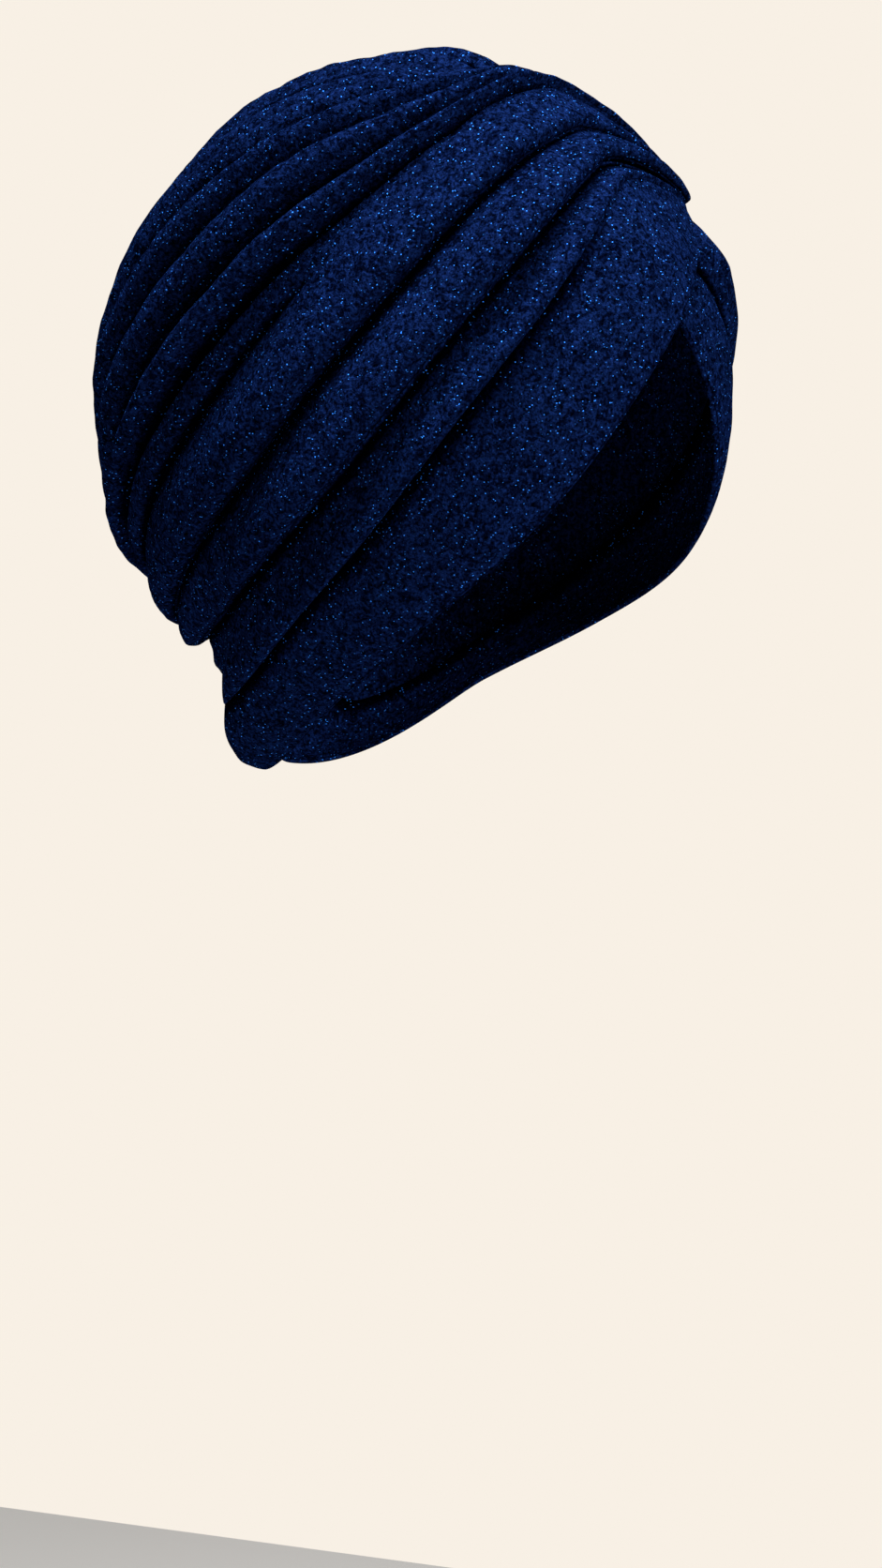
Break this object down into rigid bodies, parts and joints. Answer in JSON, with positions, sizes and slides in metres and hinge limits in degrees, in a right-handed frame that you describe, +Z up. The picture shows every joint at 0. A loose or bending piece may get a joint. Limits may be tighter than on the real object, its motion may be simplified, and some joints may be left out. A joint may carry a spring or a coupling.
{
  "type": "turban headwrap",
  "caption": "Pre-tied pleated turban headwrap with a cross-over front, a plain hem band and pleats gathered at the nape, open below for the head",
  "frame": {"origin": "the inside of the crown, where the top of the head bears", "axes": "the front faces -Y, the wearer's right is -X, +Z is up"},
  "size_m": [0.1678, 0.2047, 0.2279],
  "materials": {
    "knit": "navy crepe knit with fine bright blue metallic yarn"
  },
  "bodies": {
    "root": {"left_panel": "knit", "left_drape": "knit", "right_panel": "knit", "right_drape": "knit"}
  },
  "joints": []
}
